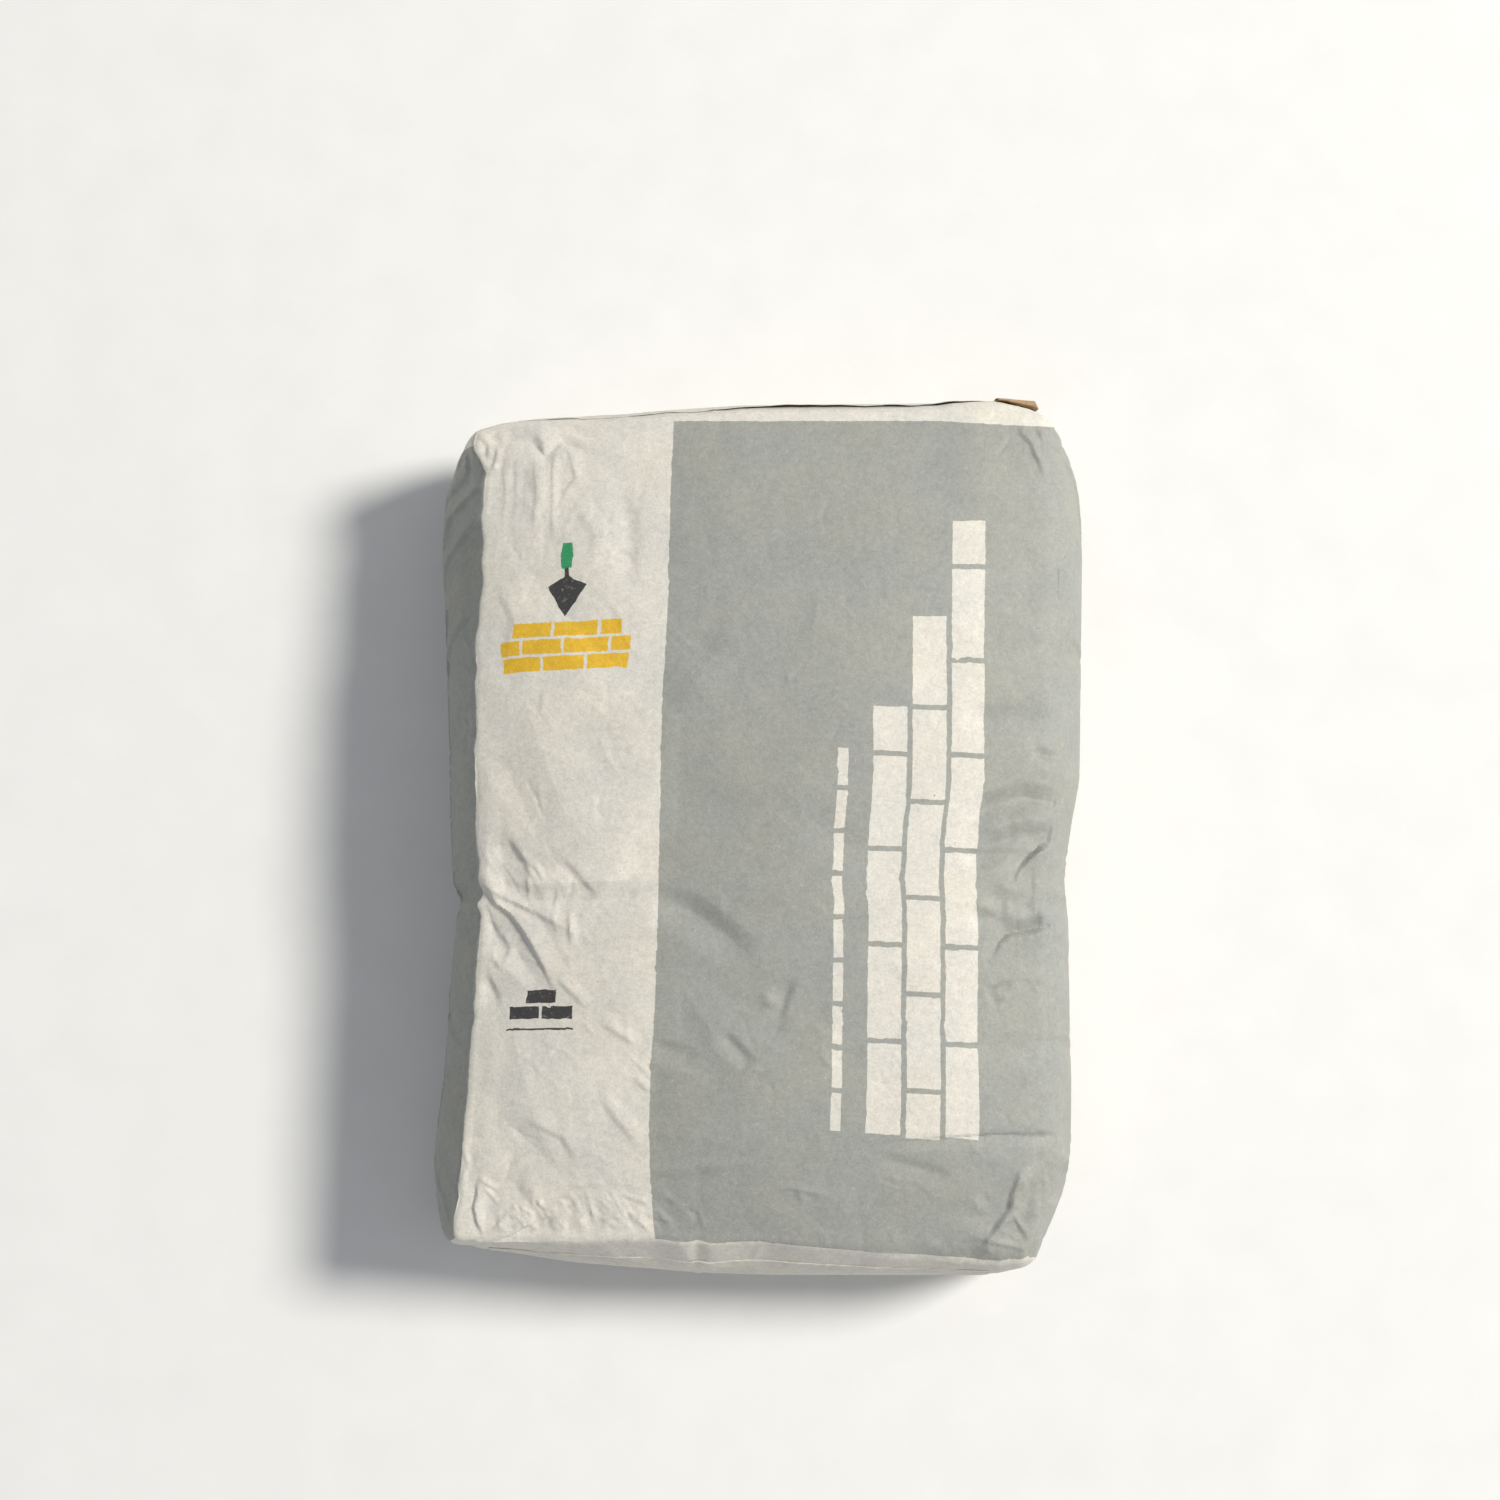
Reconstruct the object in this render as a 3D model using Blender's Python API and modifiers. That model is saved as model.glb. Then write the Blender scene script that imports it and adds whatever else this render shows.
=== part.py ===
"""A 20 kg paper cement sack, filled and lying on its back panel.

Metres, +Z up. The sack's length runs along Y, with the valve end at +Y, and its width along X.
The origin is on the floor, under the middle of the sack.

The sack is a pasted valve sack: a flat paper tube whose two ends are folded into rectangular
blocks, with a paper patch pasted over each end and a kraft valve sleeve in one corner.
"""

import bmesh
import bpy
from mathutils import Vector
from mathutils.bvhtree import BVHTree

MM = 0.001

# The filled sack, over its bulges
SACK_LENGTH = 438 * MM
SACK_WIDTH = 324 * MM
SACK_HEIGHT = 116 * MM

# The sack's outline seen from above. A station is the share of the way along a side or end, from -1 to 1,
# then in millimetres how far the widest line reaches there and how far inside it the upper fold lies.
LEFT_SIDE = (
    (-1.0, -158, 5), (-0.97, -159.5, 6), (-0.87, -162, 11.5), (-0.73, -162.5, 15), (-0.55, -157, 15.5),
    (-0.34, -153.5, 16), (-0.11, -151.5, 13.5), (0.11, -156, 17), (0.34, -157.7, 17.5), (0.55, -160, 20.5),
    (0.73, -162.5, 24), (0.87, -157.5, 17.5), (0.97, -148.5, 5), (1.0, -145, 3.5),
)
RIGHT_SIDE = (
    (-1.0, 134, 5.5), (-0.97, 137.5, 7), (-0.87, 147.2, 10), (-0.73, 154.7, 12.5), (-0.55, 154.5, 13),
    (-0.34, 154, 14.5), (-0.11, 151.5, 13.5), (0.11, 160, 15.5), (0.34, 162, 16.5), (0.55, 163, 17),
    (0.73, 163.5, 16.5), (0.87, 160, 14), (0.97, 150.5, 8), (1.0, 146.5, 6),
)
VALVE_END = (
    (-1.0, 198.5, 1), (-0.89, 201, 4), (-0.6, 206.5, 9), (-0.21, 211.5, 10.5),
    (0.21, 215.5, 10.5), (0.6, 215.5, 9), (0.89, 209.5, 5), (1.0, 203.5, 1),
)
PLAIN_END = (
    (-1.0, -207, 4), (-0.89, -208.5, 7), (-0.6, -214, 12), (-0.21, -219.5, 13),
    (0.21, -221, 12), (0.6, -221, 9), (0.89, -217.5, 4), (1.0, -217, 3.5),
)

# How far inside its widest line a side or end meets the back panel, away from the corners
SIDE_FOOT = 14 * MM
END_FOOT = 11 * MM

# How far the front panel bulges past the fold lines of the paper
FRONT_CROWN = 19 * MM
CORNER_DROP = 10 * MM

# The back panel's edge, as a share of the way out to the folds, where it lifts off the floor
HEM_START = 0.9
HEM_LIFT = 6 * MM
HEM_TUCK = 5 * MM

# Powers of the bulges: a higher one keeps a face flat for longer before it curves to its fold
CROWN_POWER_ACROSS = 2.4
CROWN_POWER_ALONG = 2.8
FOOT_FADE_POWER = 4

# The cage that the smooth form is made from: cuts along X, Y and Z
CAGE_CUTS = (6, 12, 3)
FOLD_PULL = 0.5
SMOOTH_LEVELS = 2

# The paper pieces on the ends
SEAT_GAP = 0.3 * MM
PATCH_THICKNESS = 0.8 * MM
PATCH_HALF_LENGTH = 122 * MM
VALVE_PATCH_CENTRE_X = 0 * MM
PLAIN_PATCH_CENTRE_X = -11 * MM
PATCH_LOW = 14 * MM
PATCH_HIGH = 80 * MM
SLEEVE_PLY = 0.8 * MM
SLEEVE_MOUTH_X = 141 * MM
SLEEVE_WIDTH = 58 * MM
SLEEVE_INNER_DEPTH = 2.4 * MM
SLEEVE_MOUTH_DEPTH = 3.2 * MM
SLEEVE_SEGMENTS = 24
SLEEVE_PROBES = 8
CUT_TOLERANCE = 0.001 * MM

# Base colour in linear RGB, and roughness
PRINTED_PAPER = ((0.38, 0.39, 0.35), 0.7)
WHITE_PAPER = ((0.72, 0.70, 0.64), 0.75)
BROWN_KRAFT = ((0.33, 0.22, 0.125), 0.8)


def clear_scene():
    for old in list(bpy.data.objects):
        bpy.data.objects.remove(old)


def paper(name, colour, roughness):
    """A matt paper material."""
    material = bpy.data.materials.new(name)
    material.use_nodes = True
    shader = material.node_tree.nodes["Principled BSDF"]
    shader.inputs["Base Color"].default_value = (*colour, 1.0)
    shader.inputs["Roughness"].default_value = roughness
    shader.inputs["Metallic"].default_value = 0.0
    return material


def add_object(name, mesh, collection, material):
    made = bpy.data.objects.new(name, mesh)
    collection.objects.link(made)
    mesh.materials.append(material)
    return made


def evaluated_mesh(source):
    """The mesh of an object with its modifiers applied."""
    depsgraph = bpy.context.evaluated_depsgraph_get()
    return bpy.data.meshes.new_from_object(source.evaluated_get(depsgraph))


def toward_edge(s):
    """Moves the cage rows towards the folds, so that the folds stay tight after smoothing."""
    return s * (1.0 + FOLD_PULL * (1.0 - s * s))


def station(outline, share):
    """How far an outline reaches, and how far inside that its upper fold lies, at a share of its way."""
    for (start, *low), (stop, *high) in zip(outline, outline[1:]):
        if share <= stop:
            break
    part = (share - start) / (stop - start)
    return [(a + part * (b - a)) * MM for a, b in zip(low, high)]


def wall(outline, outward, share, height, foot):
    """Where a side or end stands at a share of its height: through its upper fold, widest line and foot."""
    widest, fold = station(outline, share)
    foot = HEM_TUCK + foot * (1.0 - abs(share) ** FOOT_FADE_POWER)
    inset = fold * height * (2.0 * height - 1.0) + foot * (1.0 - height) * (1.0 - 2.0 * height)
    return widest - outward * inset


def plump(s):
    """Where a point of the cage, given in -1 to 1 on each axis, lies on the filled sack."""
    across = 1.0 - abs(s.x) ** CROWN_POWER_ACROSS
    along = 1.0 - abs(s.y) ** CROWN_POWER_ALONG
    hem = max(0.0, max(abs(s.x), abs(s.y)) - HEM_START) / (1.0 - HEM_START)
    top = SACK_HEIGHT - FRONT_CROWN * (1.0 - across * along)
    top -= CORNER_DROP * (s.x * s.y) ** 2
    bottom = HEM_LIFT * hem
    height = (s.z + 1.0) / 2
    left = wall(LEFT_SIDE, -1, s.y, height, SIDE_FOOT)
    right = wall(RIGHT_SIDE, 1, s.y, height, SIDE_FOOT)
    plain_end = wall(PLAIN_END, -1, s.x, height, END_FOOT)
    valve_end = wall(VALVE_END, 1, s.x, height, END_FOOT)
    x = (left + right) / 2 + s.x * (right - left) / 2
    y = (plain_end + valve_end) / 2 + s.y * (valve_end - plain_end) / 2
    return Vector((x, y, bottom + (top - bottom) * height))


def fit_to_box(cage_object):
    """Scales the cage so that the smooth sack has its stated size and rests on the floor."""
    mesh = evaluated_mesh(cage_object)
    low = [min(v.co[i] for v in mesh.vertices) for i in range(3)]
    high = [max(v.co[i] for v in mesh.vertices) for i in range(3)]
    bpy.data.meshes.remove(mesh)
    wanted = (SACK_WIDTH, SACK_LENGTH, SACK_HEIGHT)
    for vertex in cage_object.data.vertices:
        for i in range(3):
            origin = low[i] if i == 2 else (low[i] + high[i]) / 2
            vertex.co[i] = (vertex.co[i] - origin) * wanted[i] / (high[i] - low[i])


def cut_cube():
    """A cube of side 2, cut into a grid."""
    cage = bmesh.new()
    bmesh.ops.create_cube(cage, size=2.0)
    for axis, cuts in enumerate(CAGE_CUTS):
        along = [e for e in cage.edges if abs(e.verts[0].co[axis] - e.verts[1].co[axis]) > 1.0]
        bmesh.ops.subdivide_edges(cage, edges=along, cuts=cuts)
    return cage


def make_sack(collection):
    """The printed paper sack with the cement in it."""
    cage = cut_cube()
    for vertex in cage.verts:
        vertex.co = plump(Vector([toward_edge(c) for c in vertex.co]))
    mesh = bpy.data.meshes.new("paper_sack")
    cage.to_mesh(mesh)
    cage.free()
    sack = add_object("paper_sack", mesh, collection, paper("printed paper", *PRINTED_PAPER))
    smooth = sack.modifiers.new("smooth", "SUBSURF")
    smooth.levels = SMOOTH_LEVELS
    smooth.render_levels = SMOOTH_LEVELS
    fit_to_box(sack)
    mesh.shade_smooth()
    return sack


def make_end_patch(name, sack, side, centre_x, collection, material):
    """The paper strip pasted over one end, cut from the sack's own surface so that it lies on it."""
    skin = evaluated_mesh(sack)
    work = bmesh.new()
    work.from_mesh(skin)
    bpy.data.meshes.remove(skin)
    cuts = (
        ((0, 0, 0), (0, side, 0)),
        ((centre_x - PATCH_HALF_LENGTH, 0, 0), (1, 0, 0)),
        ((centre_x + PATCH_HALF_LENGTH, 0, 0), (-1, 0, 0)),
        ((0, 0, PATCH_LOW), (0, 0, 1)),
        ((0, 0, PATCH_HIGH), (0, 0, -1)),
    )
    for point, kept_side in cuts:
        everything = work.verts[:] + work.edges[:] + work.faces[:]
        bmesh.ops.bisect_plane(
            work, geom=everything, dist=CUT_TOLERANCE, plane_co=point, plane_no=kept_side, clear_inner=True
        )
    work.normal_update()
    for vertex, normal in [(v, v.normal.copy()) for v in work.verts]:
        vertex.co += normal * SEAT_GAP
    mesh = bpy.data.meshes.new(name)
    work.to_mesh(mesh)
    work.free()
    mesh.materials.clear()
    patch = add_object(name, mesh, collection, material)
    ply = patch.modifiers.new("ply", "SOLIDIFY")
    ply.thickness = PATCH_THICKNESS
    ply.offset = 1.0
    mesh.shade_flat()
    return patch


def make_valve_sleeve(sack, patch, collection, material):
    """The flattened kraft tube of the valve, from the end of the patch to the sack's corner."""
    patch_mesh = evaluated_mesh(patch)
    start_x = max(v.co.x for v in patch_mesh.vertices) + SEAT_GAP
    middle_z = sum(v.co.z for v in patch_mesh.vertices) / len(patch_mesh.vertices)
    bpy.data.meshes.remove(patch_mesh)
    skin = evaluated_mesh(sack)
    surface = BVHTree.FromPolygons([v.co for v in skin.vertices], [p.vertices for p in skin.polygons])
    bpy.data.meshes.remove(skin)

    def seat_y(z):
        """Clear of the sack's highest point under the sleeve at this height."""
        places = [start_x + n * (SLEEVE_MOUTH_X - start_x) / SLEEVE_PROBES for n in range(SLEEVE_PROBES + 1)]
        hits = [surface.ray_cast(Vector((x, SACK_LENGTH, z)), Vector((0, -1, 0)))[0] for x in places]
        return max(hit.y for hit in hits if hit) + SEAT_GAP

    tube = bmesh.new()
    bmesh.ops.create_cone(
        tube, cap_ends=False, segments=SLEEVE_SEGMENTS, radius1=1.0, radius2=1.0, depth=1.0
    )
    for vertex in tube.verts:
        share = vertex.co.z + 0.5
        z = middle_z + vertex.co.x * SLEEVE_WIDTH / 2
        depth = SLEEVE_INNER_DEPTH + share * (SLEEVE_MOUTH_DEPTH - SLEEVE_INNER_DEPTH)
        lift = (depth - SLEEVE_PLY) * (1.0 + vertex.co.y) / 2
        x = start_x + share * (SLEEVE_MOUTH_X - start_x)
        vertex.co = (x, seat_y(z) + SLEEVE_PLY / 2 + lift, z)
    bmesh.ops.recalc_face_normals(tube, faces=tube.faces[:])
    mesh = bpy.data.meshes.new("valve_sleeve")
    tube.to_mesh(mesh)
    tube.free()
    sleeve = add_object("valve_sleeve", mesh, collection, material)
    ply = sleeve.modifiers.new("ply", "SOLIDIFY")
    ply.thickness = SLEEVE_PLY
    ply.offset = 0.0
    return sleeve


def centre_on_floor(objects):
    """Slides everything along Y, so that the origin lies under the middle of the whole sack."""
    bpy.context.view_layer.update()
    meshes = [evaluated_mesh(each) for each in objects]
    reach = [v.co.y for mesh in meshes for v in mesh.vertices]
    for mesh in meshes:
        bpy.data.meshes.remove(mesh)
    for each in objects:
        each.location.y -= (min(reach) + max(reach)) / 2


def main():
    clear_scene()
    collection = bpy.data.collections.new("cement_sack")
    bpy.context.scene.collection.children.link(collection)
    sack = make_sack(collection)
    white = paper("white patch paper", *WHITE_PAPER)
    kraft = paper("brown kraft", *BROWN_KRAFT)
    valve_patch = make_end_patch("valve_end_patch", sack, 1, VALVE_PATCH_CENTRE_X, collection, white)
    plain_patch = make_end_patch("plain_end_patch", sack, -1, PLAIN_PATCH_CENTRE_X, collection, white)
    sleeve = make_valve_sleeve(sack, valve_patch, collection, kraft)
    centre_on_floor([sack, valve_patch, plain_patch, sleeve])


main()
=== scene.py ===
"""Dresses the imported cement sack: creased printed paper, pasted end patches and a kraft valve sleeve.

The sack is a grid of paper, laid over the filled form. A coarse grid is relaxed about that form: it
keeps the flat sheet's length, so it buckles where it has length to spare. The buckles are carried to a
fine grid, crumples, creases and listed folds are pressed in, and the outline is drawn to the camera's.
Millimetres are used for shapes, metres for the meshes. +Y is the valve end, +Z is up.
"""

import math

import bpy
import numpy as np
from mathutils import Matrix, Vector
from mathutils.geometry import delaunay_2d_cdt


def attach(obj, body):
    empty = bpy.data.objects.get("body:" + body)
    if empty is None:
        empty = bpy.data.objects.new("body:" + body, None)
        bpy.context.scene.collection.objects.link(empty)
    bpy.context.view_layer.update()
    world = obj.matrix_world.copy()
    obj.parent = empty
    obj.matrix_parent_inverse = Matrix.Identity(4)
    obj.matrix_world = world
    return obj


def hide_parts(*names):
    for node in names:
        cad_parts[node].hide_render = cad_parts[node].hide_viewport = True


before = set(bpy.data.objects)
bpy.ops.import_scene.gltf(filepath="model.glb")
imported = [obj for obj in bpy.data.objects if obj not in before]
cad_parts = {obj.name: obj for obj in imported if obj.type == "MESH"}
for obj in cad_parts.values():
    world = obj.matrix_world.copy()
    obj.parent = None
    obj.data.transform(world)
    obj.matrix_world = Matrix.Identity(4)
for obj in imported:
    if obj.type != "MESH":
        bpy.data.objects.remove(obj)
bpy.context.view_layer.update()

MM = 0.001
SEED = 11

# The flat paper tube between its folds, and the cells that its grids are cut into
SHEET = np.array([288.0, 424.0, 104.0])
COARSE_CELLS = (66, 96, 24)
FINE_CELLS = (290, 430, 60)
# How much closer the fine grid's lines lie near both ends of an axis, and how far in that goes
CLOSER = ((1.5, 40), (1.5, 50), (1, 10))
# The paper keeps this many triangles: it is thinned where it is flat
SACK_TRIANGLES = 196000

# Where the camera stands and what it looks at, in millimetres, and how the sack lies in its frame
EYE = np.array([-19.6, -123.0, 1600.0])
TARGET = np.array([-5.6, 40.0, 57.0])
FRAME_PX = 1500
SACK_PX = (758, 836)
PX_PER_MM = 2

# Outline at its widest as the camera sees it: (place, reach) along each side and end
LEFT_REACH = (
    (-212, -150), (-206, -154), (-202, -156), (-199, -157.5), (-196, -158.5), (-190, -159.7), (-182, -160.5),
    (-172, -161.5), (-162, -162), (-152, -161.2), (-142, -160), (-132, -158.5), (-122, -157.2),
    (-102, -155.5), (-82, -154.5), (-62, -152.7), (-42, -150.7), (-36, -149.6), (-32, -149.2), (-27, -151),
    (-22, -152.5), (8, -153.7), (38, -154.2), (68, -155), (98, -156), (118, -156.5), (138, -157.7),
    (158, -157), (168, -156), (173, -155), (181, -152.2), (189, -149.5), (193, -147.7), (197, -146),
    (201, -143), (206, -137),
)
RIGHT_REACH = (
    (-218, 133), (-214, 136.5), (-208, 140.2), (-202, 142.7), (-193, 146.7), (-184, 150.5), (-172, 154),
    (-162, 155.7), (-152, 156.5), (-122, 156.7), (-102, 156), (-62, 155.5), (-42, 155.2), (-32, 154.2),
    (-22, 153.2), (-12, 154.2), (-2, 155.7), (8, 157.2), (18, 159.2), (28, 160.7), (48, 161.2), (98, 161.5),
    (138, 162), (158, 161.5), (169, 160.5), (177, 159.2), (185, 157), (193, 154), (201, 150.7), (205, 148.2),
    (209, 144.5), (214, 139),
)
VALVE_REACH = (
    (-150, 196), (-146, 199), (-144, 200.5), (-139, 203.2), (-134, 204.7), (-129, 206), (-124, 207),
    (-109, 208.2), (-89, 209.2), (-69, 210.2), (-49, 212), (-29, 213.3), (-9, 214.7), (31, 215.3),
    (71, 215.5), (88, 215.8), (98, 216.8), (116, 217.4), (121, 217), (130, 215), (140, 212.3), (145, 208.5),
    (150, 202),
)
PLAIN_REACH = (
    (-160, -200), (-154, -203.2), (-149, -204.5), (-144, -204.6), (-139, -206.2), (-134, -206.6),
    (-124, -207.6), (-109, -210.2), (-89, -213), (-69, -214.6), (-49, -216.2), (-29, -218), (11, -219),
    (91, -219), (111, -219), (121, -218.5), (127, -217), (133, -215.7), (136, -214.2), (139, -211),
    (142, -205),
)
# How far each side is seen past its upper fold
LEFT_BULGE = (
    (-208, 1), (-202, 2.5), (-182, 9), (-152, 12.2), (-122, 10.8), (-62, 11.3), (-34, 9), (-24, 10.5),
    (-12, 12.7), (3, 11.5), (68, 13), (98, 14.5), (138, 18.5), (164, 18.2), (181, 15.5), (194, 4), (204, 1),
)
RIGHT_BULGE = (
    (-214, 1), (-190, 4), (-150, 6), (-60, 8), (-22, 7), (40, 9), (140, 10), (185, 7), (210, 1),
)
VALVE_BULGE = ((-150, 0), (150, 0))
PLAIN_BULGE = (
    (-156, 1), (-134, 2.5), (-107, 7), (-79, 11), (-51, 14), (1, 15), (56, 10), (105, 6), (136, 2),
)
# Radius of the paper's folds at the left, and how much larger it grows to the right
EDGE_RADIUS, MORE_RADIUS = 3, 5
# The filled sack: height, rise of its crown, drop at its corners, hem's rise and height of its upper folds
HEIGHT, CROWN, CORNER_DROP, HEM_RISE, FOLD_HEIGHT = 116, 19, 10, 6, 97

# Where the camera sees the bare band's edge, as (Y, X), and the ink's edge at the valve end, as (X, Y)
BAND_EDGE = (
    (-202, -51.5), (-172, -54), (-142, -54.5), (-112, -53.5), (-82, -51.5), (-32, -50), (18, -49), (68, -48),
    (108, -45.5), (178, -43.5), (207, -42),
)
INK_EDGE = (
    (-160, 188), (-150.5, 190.5), (-144, 194.5), (-120, 201), (-42, 207.5), (91, 207.5), (116, 206),
    (147, 204.5), (162, 203.5),
)
# The same two edges on the flat sheet, in metres
BAND_WIDTH, INK_LENGTH = 0.0905, 0.4155


def camera_axes():
    """Unit vectors right, up and backwards, and the distance to the sack's middle along the view."""
    back = EYE - TARGET
    back = back / np.linalg.norm(back)
    right = np.cross((0, 1, 0), back)
    right /= np.linalg.norm(right)
    return right, np.cross(back, right), back, float((EYE - (0, 0, 57)) @ back)


def behind_the_frame(x, y, z):
    """World points at height z that the camera sees at (x, y) millimetres from the sack's middle."""
    right, up, back, depth = camera_axes()
    focal = PX_PER_MM * depth
    a = (SACK_PX[0] + PX_PER_MM * x - FRAME_PX / 2) / focal
    b = (FRAME_PX / 2 - SACK_PX[1] + PX_PER_MM * y) / focal
    ray = a[:, None] * right + b[:, None] * up - back
    return EYE + ray * ((z - EYE[2]) / ray[:, 2])[:, None]


def in_the_frame(points):
    """Where the camera sees world points, in millimetres from the sack's middle."""
    right, up, back, depth = camera_axes()
    rel = points - EYE
    scale = PX_PER_MM * depth / -(rel @ back)
    x = (rel @ right * scale + FRAME_PX / 2 - SACK_PX[0]) / PX_PER_MM
    y = (rel @ up * scale - FRAME_PX / 2 + SACK_PX[1]) / PX_PER_MM
    return np.stack([x, y], 1)


def table(stations, at):
    places, reaches = zip(*stations)
    return np.interp(at, places, reaches)


def smooth_step(edge0, edge1, x):
    t = np.clip((x - edge0) / (edge1 - edge0), 0, 1)
    return t * t * (3 - 2 * t)


def grid_lines(size, count, closer, zone):
    """Places of a grid's lines along one axis, closer together towards its ends."""
    at = np.linspace(0, size, 2001)
    density = 1 + (closer - 1) * (1 - smooth_step(zone * 0.6, zone * 1.4, at))
    density += (closer - 1) * smooth_step(size - zone * 1.4, size - zone * 0.6, at)
    total = np.concatenate([[0], np.cumsum(density[1:] + density[:-1])])
    return np.interp(np.linspace(0, total[-1], count + 1), total, at) - size / 2


class Paper:
    """The surface of a box as a grid of quads, which is the sack's paper with its folds."""

    def __init__(self, n, lines):
        self.n = np.array(n)
        self.lines = lines
        shape = tuple(self.n + 1)
        grid = np.stack(np.meshgrid(*[np.arange(s) for s in shape], indexing="ij"), -1)
        surface = ((grid == 0) | (grid == self.n)).any(-1)
        self.index = np.full(shape, -1, np.int32)
        self.index[surface] = np.arange(surface.sum())
        self.cells = grid[surface]
        self.count = len(self.cells)
        self.flat = np.stack([lines[a][self.cells[:, a]] for a in range(3)], 1)
        self.panel_faces = []
        for axis in range(3):
            for side in (0, 1):
                s = self.index.take(side * self.n[axis], axis=axis)
                quads = np.stack([s[:-1, :-1], s[1:, :-1], s[1:, 1:], s[:-1, 1:]], -1).reshape(-1, 4)
                outward = (side == 1) != (axis == 1)
                self.panel_faces.append(quads if outward else quads[:, ::-1])
        self.faces = np.concatenate(self.panel_faces)
        self.panel = np.repeat(np.arange(6), [len(f) for f in self.panel_faces])
        self.find_neighbours()
        self.find_faces()

    def find_neighbours(self):
        """Up to four neighbours along the grid and four across it, for each point."""
        f = self.faces
        straight = np.concatenate([f[:, [0, 1]], f[:, [1, 2]], f[:, [2, 3]], f[:, [3, 0]]])
        straight = np.unique(np.sort(straight, 1), axis=0)
        crossed = np.unique(np.sort(np.concatenate([f[:, [0, 2]], f[:, [1, 3]]]), 1), axis=0)
        self.near = np.tile(np.arange(self.count, dtype=np.int32)[:, None], (1, 8))
        self.kind = np.zeros((self.count, 8), np.int8)
        for pairs, first, kind in ((straight, 0, 1), (crossed, 4, 2)):
            both = np.concatenate([pairs, pairs[:, ::-1]])
            both = both[np.argsort(both[:, 0], kind="stable")]
            start = np.searchsorted(both[:, 0], np.arange(self.count))
            slot = np.arange(len(both)) - start[both[:, 0]]
            self.near[both[:, 0], first + slot] = both[:, 1]
            self.kind[both[:, 0], first + slot] = kind
        self.degree = (self.kind[:, :4] > 0).sum(1)[:, None].astype(float)

    def find_faces(self):
        """The faces that touch each point."""
        corners = self.faces.ravel()
        order = np.argsort(corners, kind="stable")
        start = np.searchsorted(corners[order], np.arange(self.count))
        slot = np.arange(len(corners)) - start[corners[order]]
        self.touching = np.full((self.count, 4), len(self.faces), np.int32)
        self.touching[corners[order], slot] = order // 4

    def normals(self, x):
        a, b, c, d = (x[self.faces[:, i]] for i in range(4))
        area = np.cross(c - a, d - b)
        area = np.concatenate([area, np.zeros((1, 3))])
        total = area[self.touching].sum(1)
        return total / np.maximum(np.linalg.norm(total, axis=1), 1e-9)[:, None]

    def signed(self):
        """Each point's place on the sheet, from -1 to 1 along each axis."""
        return self.flat / (SHEET / 2)


def rounded_box(paper):
    """Each point's place in the box, from -1 to 1 along each axis, with the box's edges rounded."""
    half = SHEET / 2
    p = paper.signed() * half
    radius = (EDGE_RADIUS + MORE_RADIUS * smooth_step(0, 1, paper.signed()[:, 0]))[:, None]
    core = np.clip(p, radius - half, half - radius)
    out = p - core
    size = np.linalg.norm(out, axis=1)[:, None]
    return (core + out * (radius / np.maximum(size, 1e-9))) / half


def wall(axis, outward, t, place, fold_height, reaches, bulges, hidden_bulge, low_inset):
    """Where a side or end stands at height share t, through its upper fold, widest line and foot."""
    reach = table(reaches, place)
    fold = reach - outward * table(bulges, place)
    seen = [(r, place) if axis == 0 else (place, r) for r in (fold, reach)]
    upper = behind_the_frame(*seen[0], fold_height)[:, axis]
    widest = behind_the_frame(*seen[1], fold_height / 2)[:, axis]
    if hidden_bulge is not None:
        widest = upper + outward * hidden_bulge
    foot = widest - outward * low_inset
    return upper * t * (2 * t - 1) + widest * 4 * t * (1 - t) + foot * (1 - t) * (1 - 2 * t)


def filled_form(paper):
    """The filled sack before it creases: the points, and (X, Y) as the camera sees them with Z."""
    sx, sy, sz = rounded_box(paper).T
    t = (sz + 1) / 2
    crown = (1 - np.abs(sx) ** 2.4) * (1 - np.abs(sy) ** 2.8)
    top = HEIGHT - CROWN * (1 - crown) - CORNER_DROP * (sx * sy) ** 2
    hem = np.clip((np.maximum(np.abs(sx), np.abs(sy)) - 0.88) / 0.12, 0, 1)
    bottom = HEM_RISE * hem ** 2
    z = bottom + (top - bottom) * t

    side_fold, end_fold = FOLD_HEIGHT - CORNER_DROP * sy ** 2, FOLD_HEIGHT - CORNER_DROP * sx ** 2
    side_foot = 5 + 14 * (1 - sy ** 4)
    end_foot = 5 + 11 * (1 - sx ** 4)
    across, along = sx * 150, sy * 210
    for _ in range(4):
        left = wall(0, -1, t, along, side_fold, LEFT_REACH, LEFT_BULGE, None, side_foot)
        right = wall(0, 1, t, along, side_fold, RIGHT_REACH, RIGHT_BULGE, None, side_foot)
        valve = wall(1, 1, t, across, end_fold, VALVE_REACH, VALVE_BULGE, 9 * (1 - sx ** 4), end_foot)
        plain = wall(1, -1, t, across, end_fold, PLAIN_REACH, PLAIN_BULGE, None, end_foot)
        x, y = left + (sx + 1) / 2 * (right - left), plain + (sy + 1) / 2 * (valve - plain)
        points = np.stack([x, y, z], 1)
        across, along = in_the_frame(points).T
    return points, np.column_stack([across, along, z])


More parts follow.
